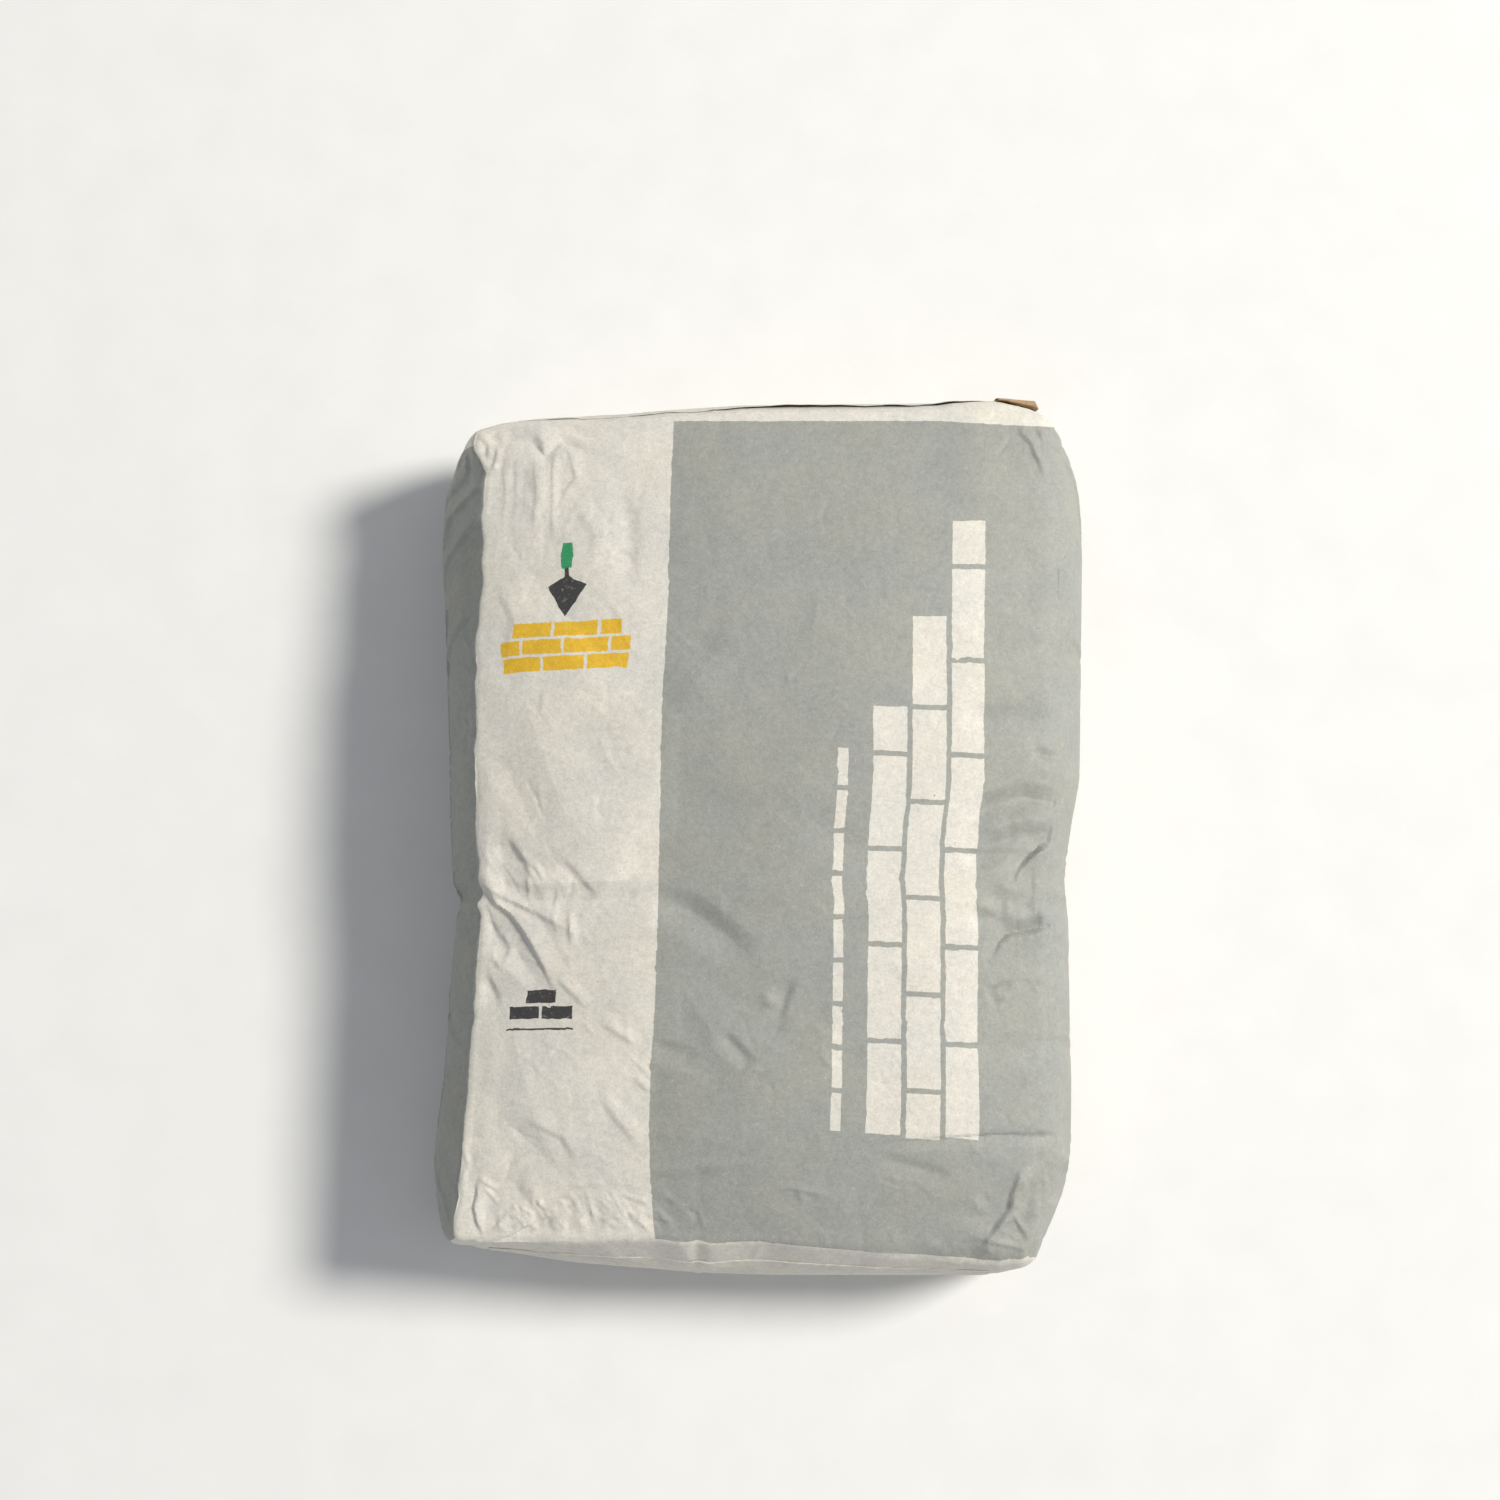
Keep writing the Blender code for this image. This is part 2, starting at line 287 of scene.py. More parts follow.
def fit_outline(paper, points):
    """Draws the creased sack's sides and ends in or out, to the outline that the camera sees."""
    s = paper.signed()
    for axis, side, reaches, low, high in (
        (0, -1, LEFT_REACH, -200, 196), (0, 1, RIGHT_REACH, -208, 204),
        (1, 1, VALVE_REACH, -138, 138), (1, -1, PLAIN_REACH, -150, 134),
    ):
        seen = in_the_frame(points)
        out, at = side * seen[:, axis], seen[:, 1 - axis]
        count = int((high - low) / 2)
        slot = np.floor((at - low) / (high - low) * count).astype(int)
        known = (slot >= 0) & (slot < count)
        furthest = np.full(count, -1e9)
        np.maximum.at(furthest, slot[known], out[known])
        middles = low + (np.arange(count) + 0.5) * (high - low) / count
        excess = np.pad(furthest - side * table(reaches, middles), 1, mode="edge")
        excess = np.convolve(excess, (0.2, 0.6, 0.2), mode="valid")
        weight = smooth_step(0.55, 0.98, side * s[:, axis])
        points[:, axis] -= side * 0.97 * np.interp(at, middles, excess) * weight
    return points


# Folds of a panel: reach to the left and to the right of the line's direction, height and the line itself,
# in millimetres. Height is above the paper (a ridge) or below it (a valley). The line is (X, Y) as the
# camera sees it on the front and (Y, Z) on a side.
FRONT, LEFT, RIGHT, VALVE, PLAIN, BACK = 5, 0, 1, 3, 2, 4
FOLDS = {FRONT: (
    # The pinch on the left side and what runs from it
    (10, 2, 2.2, ((-162, -12), (-142, -24), (-133, -31), (-123.5, -40), (-117, -48.5), (-108, -63),
     (-102, -76), (-101, -86))),
    (7, 1.8, 1.5, ((-162, -14), (-142, -24), (-121, -33.5), (-94, -47.5), (-86, -53))),
    (4, 1.8, 0.9, ((-94, -37), (-93, -57))),
    (5, 2, 0.8, ((-142, -22), (-118, -22.5))),
    (3, 1.6, 0.7, ((-116, -20), (-116, -32))),
    (3, 9, -1.4, ((-127, -1), (-114, -19))),
    (3, 9, -1.4, ((-99, -11), (-89, -22.5), (-80, -33))),
    (6, 2.2, 1, ((-101, -70), (-83, -87))),
    (6, 2.2, 0.9, ((-79, -92), (-58, -105))),
    (3, 8, -1.1, ((-138, -69), (-130, -86))),
    (3, 7, -0.9, ((-139, -40), (-128, -56), (-126, -64))),
    # Soft folds over the middle
    (9, 15, -2.8, ((-54, -32), (-33.5, -36.5), (-17, -48.5), (2, -64))),
    (5, 9, -1.2, ((-54, -104), (-26, -111))),
    (4, 9, -1.5, ((-19, -97), (-1, -115))),
    (3, 2, 0.8, ((-8, -117.5), (3, -114.5))),
    (3.5, 9, -1.3, ((18, -69), (13, -80), (9, -97))),
    (8, 6, 1, ((7, -78), (4, -86))),
    (2, 2, 0.6, ((15, 82), (15, 75))),
    (2, 3.5, -0.5, ((7, 77.5), (20, 77))),
    (12, 16, -1.2, ((-45, 96), (-12, 88), (28, 96))),
    (14, 12, 1, ((-40, 30), (0, 22), (50, 30))),
    (11, 14, -1.1, ((20, 10), (48, -6), (76, -10))),
    # The tucks that run in from the right side, each with a proud edge beyond its steep wall
    (1.5, 9, -3.6, ((186, 22), (170, 11), (152, 0), (147, -2.5), (142, -5.5), (136.5, -9.5), (131, -16),
     (125, -25))),
    (8, 1.5, 1.5, ((186, 19), (170, 8), (153, -3), (147, -5.5), (141, -8.8), (134, -14.5), (127, -23))),
    (1.4, 7, -3.2, ((172, -41), (148, -45.5), (143, -46), (133, -47.7), (125.5, -49.2), (121, -53),
     (118, -58.5), (113, -66))),
    (9, 1.4, 1.4, ((172, -45), (150, -48.5), (143, -48.6), (133, -50.5), (126, -52.5), (121, -60))),
    (3.5, 3, 1, ((144, -46), (149, -50), (154, -55))),
    (5, 2.5, 1.2, ((146, -32), (143, -40), (144.5, -46))),
    (8, 9, -2.4, ((104, -16), (118, -5), (134, 1), (160, 3))),
    (8, 10, -2.8, ((100, 3), (116, 14.5), (134, 19.5), (165, 14))),
    (4, 8, -1.6, ((100, -11), (138, -8.5))),
    (6, 9, -1.8, ((102, -40), (134, -43))),
    (9, 11, -1.6, ((98, 60), (160, 57))),
    (2.6, 4, -1.6, ((153, 42), (148, 39), (138, 42.5))),
    (2.6, 5, -1, ((113, -77), (121, -76), (130, -73))),
    (4, 2.4, -0.9, ((115, -77), (121, -86))),
    (9, 9, 1, ((122, -37), (136, -40))),
    (9, 9, 1.2, ((126, 4), (142, 9))),
    (7, 8, -1.5, ((112, -27), (128, -35), (142, -37))),
    # The long straight crease near the plain end
    (6, 1.6, -1.3, ((170, -146), (152, -148), (145, -149.3), (120, -149.5), (106, -150.5), (81, -152),
     (56, -154))),
    (5, 8, -1, ((58, -160), (83.5, -167), (102, -173))),
    # The crumpled corner on the right of the plain end
    (2, 8, 1.7, ((108, -211), (127, -187), (133, -168.5), (145, -164))),
    (3.4, 1.7, 1, ((117, -198), (129, -190.5), (138, -204))),
    (3.4, 1.7, 0.9, ((111, -202), (125, -205), (140, -207))),
    (1.8, 4, 0.9, ((125, -188), (134, -177), (137, -168))),
    (6, 2, 1.1, ((146, -166), (146.5, -195))),
    (4, 2, 0.7, ((6, -176), (19.5, -176), (41, -182))),
    (3, 1.8, 0.6, ((19.5, -175), (23, -185))),
    # Crinkles over the band at the plain end
    (5, 5, 0.9, ((-92, -179), (-54, -167), (6, -161.5))),
    (2.4, 1.1, 0.6, ((-95, -177), (-87, -192.5))),
    (2.4, 1.1, 0.7, ((-86.5, -176), (-81, -195))),
    (2.4, 1.1, 0.7, ((-75, -175), (-65, -192.5))),
    (2.2, 1.1, 0.55, ((-80, -180), (-73, -188))),
    (2.2, 1.1, 0.55, ((-112, -185), (-107, -194))),
    (2.2, 1.1, 0.55, ((-100, -182), (-92, -187))),
    (2.2, 1.1, 0.55, ((-121, -185), (-112, -191))),
    (2.2, 1.1, 0.6, ((-70, -178), (-60, -196))),
    (2.6, 1.2, 0.65, ((-94, -176), (-76, -173))),
    (2.6, 1.2, 0.6, ((-70, -179), (-53, -184))),
    (2, 1.2, 0.5, ((-102, -193), (-91, -185))),
    (2, 1.2, 0.5, ((-79, -192), (-67, -190))),
    (4, 2, 0.9, ((-62, -120), (-52, -128))),
    (8, 3, 0.9, ((-118, -140), (-97, -150), (-88, -166))),
    (7, 3, 0.8, ((-80, -128), (-62, -150), (-58, -160))),
    # The pleat, the raised facet and the diagonal tuck in the corner on the left of the plain end
    (8, 1.6, 1.5, ((-140, -170), (-141.5, -178), (-143, -186.5), (-141, -194), (-137, -205))),
    (1.4, 9, -2, ((-152, -212), (-128, -202.5), (-109, -193), (-96, -189))),
    (2.4, 1.4, 0.7, ((-142, -171), (-134, -176), (-130, -178))),
    (2.2, 1.4, 0.6, ((-139, -176), (-130, -186))),
    (1.6, 3, 0.5, ((-135, -200), (-126, -190), (-118, -187))),
    (3, 1.4, 0.7, ((-150, -150), (-147, -165), (-151, -180))),
    # The folded corner on the left of the valve end: a valley below the end's fold, and what runs from it
    (4.5, 12, -1.5, ((-141, 196), (-125, 196), (-113, 197), (-107, 191), (-98, 198), (-86, 193.5),
     (-66, 189))),
    (1.6, 5, -0.8, ((-113, 196.5), (-107, 190), (-98, 198))),
    (7, 1.4, 0.6, ((-97.5, 199), (-93, 189), (-90.5, 179), (-96, 172), (-101, 160))),
    (4, 1.4, 0.5, ((-97.5, 199), (-102, 190), (-102.5, 164), (-102.5, 140))),
    (5, 6, -0.9, ((-110, 206), (-92, 203.5), (-76, 200))),
    (5, 1.4, 0.4, ((-128, 193), (-127, 172), (-128, 146))),
    (4, 1.4, 0.3, ((-121, 193), (-121, 176), (-122, 150))),
    (6, 1.4, 0.4, ((-111.5, 192), (-111, 172), (-112, 144))),
    (4, 1.6, 0.9, ((-130.5, 195), (-134, 180))),
    (2.4, 1.4, 0.6, ((-137, 184), (-130, 184.5))),
    (4, 1.6, 0.9, ((-143, 203), (-135, 196), (-137, 186))),
    (9, 4, 0.7, ((-132, 130), (-122, 108), (-126, 84))),
    (8, 4, 0.7, ((-92, 170), (-80, 150), (-84, 132))),
    (6, 10, -0.8, ((-70, 176), (-62, 150), (-66, 118))),
    # Small folds in the valve corner
    (5, 1.6, 1.3, ((129, 207), (131, 200.5), (134, 198), (137, 195), (141, 188), (147, 176))),
    (4, 1.4, 0.9, ((138, 205), (141.5, 197.5), (144, 188))),
    (4, 1.4, 0.8, ((152, 196), (150.5, 186), (147.5, 180))),
    (1.2, 1.2, -0.25, ((117.5, 217), (117.5, 207))),
), LEFT: (
    (9, 4, -1.6, ((-34, 90), (-37, 66), (-33, 30))),
    (4, 7, 1.2, ((-26, 90), (-22, 70), (-30, 30))),
    (7, 2.2, 1.5, ((182, 97), (161, 68), (154, 60), (130, 30))),
    (7, 2.2, 1.4, ((167, 97), (136, 64), (110, 34))),
    (3, 8, -1.5, ((198, 76), (178, 72), (150, 30))),
    (7, 2.2, 1.2, ((120, 96), (84, 60), (70, 30))),
    (8, 3, -1.3, ((60, 96), (40, 64), (48, 20))),
    (2.4, 7, 1.4, ((-200, 88), (-172, 60), (-140, 30))),
    (2.4, 7, -1.3, ((-206, 64), (-178, 44), (-160, 12))),
    (2.4, 7, 1.3, ((-110, 96), (-90, 60), (-100, 24))),
), RIGHT: (
    (9, 6, -1, ((-3, 96), (-12, 70), (-6, 44), (-12, 16))),
    (4, 7, 1.1, ((-26, 95), (-34, 60), (-26, 30))),
    (6, 9, -0.9, ((-52, 95), (-60, 66), (-50, 34))),
    (8, 9, -0.6, ((41, 95), (32, 66), (42, 36))),
    (2.4, 7, 1.3, ((-150, 92), (-172, 60), (-198, 36))),
    (5, 8, -0.8, ((-140, 80), (-164, 44), (-190, 12))),
    (7, 2.4, 1.2, ((200, 84), (170, 56), (128, 36))),
    (8, 5, -0.8, ((190, 60), (164, 36), (136, 10))),
    (6, 3, 1.1, ((104, 94), (90, 60), (98, 20))),
    (3, 6, 1.1, ((-96, 94), (-104, 60), (-92, 26))),
)}


def by_panel(groups):
    return [(panel, *row) for panel, rows in groups.items() for row in rows]


def from_line(points, line):
    """Distance, signed distance (positive to the left) and how far along the line each point lies."""
    line = np.array(line, float)
    best = np.full(len(points), 1e9)
    side = np.ones(len(points))
    place = np.zeros(len(points))
    lengths = np.linalg.norm(np.diff(line, axis=0), axis=1)
    total, done = lengths.sum(), 0
    for a, b, length in zip(line, line[1:], lengths):
        d = (b - a) / length
        rel = points - a
        t = np.clip(rel @ d, 0, length)
        off = rel - t[:, None] * d
        dist = np.hypot(*off.T)
        closer = dist < best
        best = np.where(closer, dist, best)
        cross = d[0] * rel[:, 1] - d[1] * rel[:, 0]
        side = np.where(closer, np.sign(cross), side)
        place = np.where(closer, (done + t) / total, place)
        done += length
    return best, best * side, place


def fold_depth(points, left, right, height, line):
    """How far a fold moves each point along its normal: straight walls that meet at the line."""
    dist, signed, place = from_line(points, line)
    fade = smooth_step(-0.02, 0.3, place) * smooth_step(-0.02, 0.4, 1 - place)
    wall = np.clip(1 - np.hypot(dist, 0.35) / np.where(signed > 0, left, right), 0, 1)
    soft = wall * wall * (3 - 2 * wall)
    return (0.65 * wall + 0.35 * soft) * height * fade


# Crumpled places of a panel: middle, reach, height, facet size, turn in degrees and stretch along the turn
CRUMPLES = {FRONT: (
    ((0, 0), (230, 300), 1.4, 46, 24, 1.4),
    ((-100, 0), (90, 300), 0.9, 24, -50, 1.6),
    ((-105, 176), (75, 62), 0.5, 15, 84, 2.4),
    ((-134, 198), (34, 30), 0.9, 10, 30, 1.3),
    ((-82, -187), (70, 24), 0.55, 5.5, -60, 2.4),
    ((-134, -188), (34, 44), 1.2, 11, 70, 1.4),
    ((-112, -158), (40, 40), 0.7, 14, -60, 1.6),
    ((130, -194), (40, 38), 1.1, 10, 40, 1.2),
    ((144, 194), (30, 40), 1.1, 11, -62, 1.8),
    ((140, -30), (50, 84), 1.1, 19, 10, 1.5),
    ((-130, -42), (50, 60), 1.1, 13, -50, 1.5),
    ((10, -80), (110, 60), 0.8, 23, -40, 1.4),
    ((40, -205), (150, 26), 0.4, 12, 0, 1.3),
), LEFT: (
    ((0, 50), (300, 140), 1.3, 27, 70, 1.5),
    ((-34, 60), (50, 60), 1.1, 13, 70, 1.5),
    ((195, 60), (60, 70), 1.2, 11, 40, 1.4),
    ((-195, 60), (60, 70), 1.2, 11, -40, 1.4),
), RIGHT: (
    ((0, 50), (300, 140), 1, 30, 100, 1.5),
    ((-30, 60), (90, 60), 0.8, 16, 100, 1.5),
    ((195, 60), (60, 70), 1, 11, 40, 1.4),
    ((-195, 60), (60, 70), 1, 11, -40, 1.4),
), VALVE: (
    ((0, 50), (200, 120), 0.8, 21, 80, 1.5),
), PLAIN: (
    ((0, 50), (200, 120), 0.8, 19, 80, 1.5),
), BACK: (
    ((0, 0), (230, 300), 0.8, 30, 0, 1.4),
)}


def facet_field(at, size, turn, stretch, seed):
    """Flat facets between random heights, about -1 to 1, as in crumpled paper."""
    rng = np.random.default_rng(seed)
    angle = math.radians(turn)
    c, s = math.cos(angle), math.sin(angle)
    p = np.stack([at[:, 0] * c + at[:, 1] * s, at[:, 1] * c - at[:, 0] * s], 1) / size
    p[:, 0] /= stretch
    low, high = p.min(0) - 1.5, p.max(0) + 2.5
    grid = np.stack(np.meshgrid(np.arange(low[0], high[0]), np.arange(low[1], high[1]), indexing="ij"), -1)
    sites = grid.reshape(-1, 2) + rng.uniform(-0.45, 0.45, (grid.size // 2, 2))
    level = rng.uniform(-1, 1, len(sites))
    verts, _, triangles, origin, _, _ = delaunay_2d_cdt([Vector(q) for q in sites], [], [], 0, 1e-9)
    verts = np.array([tuple(v) for v in verts])
    level = np.sign(level) * np.abs(level) ** 1.4
    level = np.array([level[o[0]] for o in origin])
    height = np.zeros(len(p))
    order = np.argsort(p[:, 0])
    sorted_x = p[order, 0]
    for i, j, k in triangles:
        a, b, d = corners = verts[[i, j, k]]
        (left, bottom), (right, top) = corners.min(0), corners.max(0)
        near = order[slice(*np.searchsorted(sorted_x, (left, right)))]
        near = near[(p[near, 1] >= bottom) & (p[near, 1] <= top)]
        if not len(near):
            continue
        e, f, q = b - a, d - a, p[near] - a
        area = e[0] * f[1] - e[1] * f[0]
        v = (q[:, 0] * f[1] - q[:, 1] * f[0]) / area
        w = (e[0] * q[:, 1] - e[1] * q[:, 0]) / area
        inside = (v >= -1e-9) & (w >= -1e-9) & (v + w <= 1 + 1e-9)
        height[near[inside]] = (level[i] + v * (level[j] - level[i]) + w * (level[k] - level[i]))[inside]
    return height


# Short creases on a panel: middle, reach, how many, turn and its spread in degrees, length, height
STROKES = {FRONT: (
    ((-80, -187), (50, 10), 60, -60, 12, 9, 0.36),
    ((-112, -190), (22, 12), 20, -60, 40, 9, 0.28),
    ((-132, -198), (22, 12), 10, 30, 60, 9, 0.25),
    ((128, -196), (24, 22), 20, 50, 60, 11, 0.3),
    ((60, -208), (90, 9), 22, 80, 40, 9, 0.25),
    ((-118, 199), (34, 9), 12, 60, 50, 9, 0.22),
    ((-128, 168), (26, 40), 10, 84, 14, 24, 0.16),
    ((-90, 160), (40, 50), 10, 80, 24, 26, 0.16),
    ((138, 196), (22, 18), 14, -60, 50, 10, 0.28),
    ((144, -20), (14, 70), 16, 40, 40, 12, 0.28),
    ((-118, -34), (30, 28), 26, -35, 40, 14, 0.38),
    ((-20, -70), (70, 50), 16, -35, 30, 22, 0.25),
    ((0, 0), (150, 210), 80, -20, 60, 26, 0.22),
    ((-100, 0), (44, 200), 60, -40, 50, 22, 0.28),
), LEFT: (
    ((0, 50), (220, 50), 100, 70, 60, 22, 0.6),
    ((-34, 60), (30, 40), 20, 60, 50, 16, 0.6),
), RIGHT: (
    ((0, 50), (220, 50), 100, 100, 60, 22, 0.35),
    ((-30, 64), (60, 36), 20, 100, 50, 16, 0.35),
), VALVE: (
    ((0, 50), (150, 50), 50, 80, 60, 18, 0.35),
), PLAIN: (
    ((0, 50), (150, 50), 60, 80, 60, 16, 0.35),
)}


def make_strokes(middle, reach, count, turn, spread, length, height, seed):
    """Short bent creases scattered over a place, each as reaches, height and line."""
    rng = np.random.default_rng(seed)
    strokes = []
    while len(strokes) < count:
        at = rng.uniform(-1, 1, 2)
        if at @ at > 1:
            continue
        start = np.array(middle) + at * reach
        angle = math.radians(turn + rng.normal() * spread)
        bend = rng.normal() * 0.25
        far = length * rng.uniform(0.5, 1.4) / 2
        line = [start]
        for part in (angle - bend, angle + bend):
            line.append(line[-1] + far * np.array([math.cos(part), math.sin(part)]))
        sign = 1 if rng.uniform() < 0.6 else -1
        sides = rng.permutation([rng.uniform(0.8, 1.2), rng.uniform(2, 3.6)])
        strokes.append((*sides, sign * height * rng.uniform(0.4, 1.3), line))
    return strokes


def add_folds(paper, form, plan):
    """Presses the crumples, short creases and listed folds into the form."""
    normal = paper.normals(form)
    s = paper.signed()
    shifts = np.zeros((6, paper.count))
    plans = {}
    for panel in (FRONT, BACK, LEFT, RIGHT, VALVE, PLAIN):
        axis, side = panel // 2, panel % 2 * 2 - 1
        plans[panel] = ([a for a in range(3) if a != axis], s[:, axis] * side > 0.999)
    for number, (panel, middle, reach, height, size, turn, stretch) in enumerate(by_panel(CRUMPLES)):
        axes, on = plans[panel]
        at = plan[:, axes]
        away = np.hypot(*((at - middle) / reach).T)
        on = np.flatnonzero(on & (away < 1))
        field = facet_field(at[on], size, turn, stretch, SEED + 7 * number)
        shifts[panel, on] += field * height * (1 - smooth_step(0.45, 1, away[on]))
    folds = by_panel(FOLDS)
    for number, (panel, *place) in enumerate(by_panel(STROKES)):
        folds += [(panel, *stroke) for stroke in make_strokes(*place, SEED + 100 + number)]
    for panel, left, right, height, line in folds:
        axes, on = plans[panel]
        at = plan[:, axes]
        reach = max(left, right)
        low, high = np.min(line, 0) - reach, np.max(line, 0) + reach
        on = np.flatnonzero(on & ((at > low) & (at < high)).all(1))
        shifts[panel, on] += fold_depth(at[on], left, right, height, line)

    # Where panels meet, each gives its share, and the paper isn't pressed in past its own roundness
    apart = SHEET / 2 - np.abs(paper.flat)
    total = np.zeros(paper.count)
    for panel, (axes, on) in plans.items():
        share = 0.5 + 0.5 * smooth_step(0, 7, apart[:, axes].min(1))
        total += np.where(on, shifts[panel] * share, 0)
    to_edge = np.sort(apart, axis=1)[:, 1]
    deepest = 1.8 + 6 * smooth_step(0, 12, to_edge)
    total = np.maximum(total, -deepest)
    back = s[:, 2] < -0.999
    total[back] = np.minimum(total[back], 0)
    return form + normal * total[:, None]


def relax(paper, form, steps, slack, seed, hold=0.004, stiffness=0.2, bend=0.05, damping=0.93):
    """Lets the paper buckle about the form. slack is how much longer than the form it is at each point."""
    rng = np.random.default_rng(seed)
    flat_length = np.linalg.norm(paper.flat[paper.near] - paper.flat[:, None], axis=2)
    form_length = np.linalg.norm(form[paper.near] - form[:, None], axis=2)
    rest = np.maximum(form_length, np.minimum(flat_length, form_length * 1.02))
    rest = rest * (1 + (slack[paper.near] + slack[:, None]) / 2)
    k = np.where(paper.kind == 1, stiffness, np.where(paper.kind == 2, stiffness / 2, 0)).astype(np.float32)
    pull = (k * rest).astype(np.float32)
    normal = paper.normals(form).astype(np.float32)
    cell = float(np.median(flat_length[paper.kind == 1]))
    crease = (0.1 * cell) ** 2
    start = form.astype(np.float32)
    x = start + normal * rng.normal(0, 0.05 * cell, paper.count).astype(np.float32)[:, None]
    speed = np.zeros_like(x)
    near, straight = paper.near, paper.near[:, :4]
    degree = paper.degree.astype(np.float32)
    for _ in range(steps):
        d = x[near] - x[:, None]
        size = np.sqrt(np.einsum("vkc,vkc->vk", d, d)) + 1e-6
        force = np.einsum("vk,vkc->vc", k - pull / size, d)
        curve = d[:, :4].sum(1) / degree
        stiff = curve / (1 + np.einsum("vc,vc->v", curve, curve) / crease)[:, None]
        around = (stiff[straight].sum(1) - (4 - degree) * stiff) / degree
        force += bend * (stiff - around)
        away = start - x
        force += hold * normal * np.einsum("vc,vc->v", away, normal)[:, None] + hold * 0.25 * away
        speed = (speed + force) * damping
        x = x + speed
        under = x[:, 2] < 0
        x[under, 2] = 0
        speed[under] *= 0.3
    return x.astype(float)


def carry(coarse, fine, values):
    """Carries values at one grid's points to another grid's points."""
    full = np.zeros(tuple(coarse.n + 1) + values.shape[1:])
    full[tuple(coarse.cells.T)] = values
    place = [np.interp(fine.flat[:, a], coarse.lines[a], np.arange(coarse.n[a] + 1)) for a in range(3)]
    place = np.stack(place, 1)
    low = np.minimum(np.floor(place).astype(int), coarse.n - 1)
    share = place - low
    total = 0
    for corner in range(8):
        up = np.array([corner >> a & 1 for a in range(3)])
        weight = np.where(up == 1, share, 1 - share).prod(1)
        total = total + full[tuple((low + up).T)] * weight[:, None]
    return total


def soft_noise(points, size, seed):
    """Smooth noise, about -1 to 1, from a few waves in random directions."""
    rng = np.random.default_rng(seed)
    total = np.zeros(len(points))
    for _ in range(14):
        direction = rng.normal(size=3)
        direction /= np.linalg.norm(direction)
        turns = points @ direction * (2 * math.pi / size) * rng.uniform(0.6, 1.5)
        total += np.sin(turns + rng.uniform(0, 6.283))
    return total / 14 ** 0.5


def slack_of(paper):
    """How much longer than the form the paper is: most near the corners and the folds."""
    s = np.abs(paper.signed())
    corner = smooth_step(0.72, 1, s[:, 0]) * smooth_step(0.8, 1, s[:, 1])
    end = smooth_step(0.88, 1, s[:, 1])
    side = smooth_step(0.8, 1, s[:, 0])
    patchy = np.clip(0.5 + 0.7 * soft_noise(paper.flat, 110, SEED), 0, 1)
    return 0.001 + 0.006 * patchy * (1 - side) + 0.004 * corner + 0.003 * end * patchy


def make_paper_form():
    """The sack's paper in millimetres, and the grid it is on."""
    coarse = Paper(COARSE_CELLS, [np.linspace(-w / 2, w / 2, c + 1) for w, c in zip(SHEET, COARSE_CELLS)])
    fine = Paper(FINE_CELLS, [grid_lines(w, c, *near) for w, c, near in zip(SHEET, FINE_CELLS, CLOSER)])
    form = filled_form(coarse)[0]
    x = relax(coarse, form, 300, slack_of(coarse), SEED)
    filled, plan = filled_form(fine)
    to_edge = np.sort(SHEET / 2 - np.abs(fine.flat), axis=1)[:, 1]
    buckles = carry(coarse, fine, x - form) * (0.3 + 0.7 * smooth_step(3, 20, to_edge))[:, None]
    return fine, fit_outline(fine, add_folds(fine, filled + buckles, plan))


def sheet_places(paper, points):
    """Each face corner's place on the printed sheet: round the tube and along it, or past 10 on an end."""
    w, length, depth = SHEET * MM
    flat = (paper.flat * MM)[paper.faces]
    x, y, z = flat[..., 0] + w / 2, flat[..., 1] + length / 2, flat[..., 2] + depth / 2
    seen_x, seen_y = in_the_frame(points).T[:, paper.faces]
    off = (seen_x - table(BAND_EDGE, seen_y)) * MM
    x = x + (1 - smooth_step(0.02, 0.06, np.abs(off))) * (BAND_WIDTH + off - x)
    off = (seen_y - table(INK_EDGE, seen_x)) * MM
    near = 1 - smooth_step(0.01, 0.04, np.abs(off))
    y = y + near * (INK_LENGTH + off - y) * (paper.panel != BACK)[:, None]
    round_tube = np.select(
        [p == paper.panel[:, None] for p in (FRONT, RIGHT, BACK, LEFT)],
        [x, w + depth - z, 2 * w + depth - flat[..., 0] - w / 2, z - depth],
        x,
    )
    is_end = np.isin(paper.panel, (VALVE, PLAIN))[:, None]
    return np.stack([round_tube, np.where(is_end, z + 10, y)], -1)


def mesh_object(name, points, faces):
    mesh = bpy.data.meshes.new(name)
    mesh.from_pydata(points.tolist(), [], faces.tolist())
    mesh.update()
    made = bpy.data.objects.new(name, mesh)
    bpy.context.scene.collection.objects.link(made)
    return made


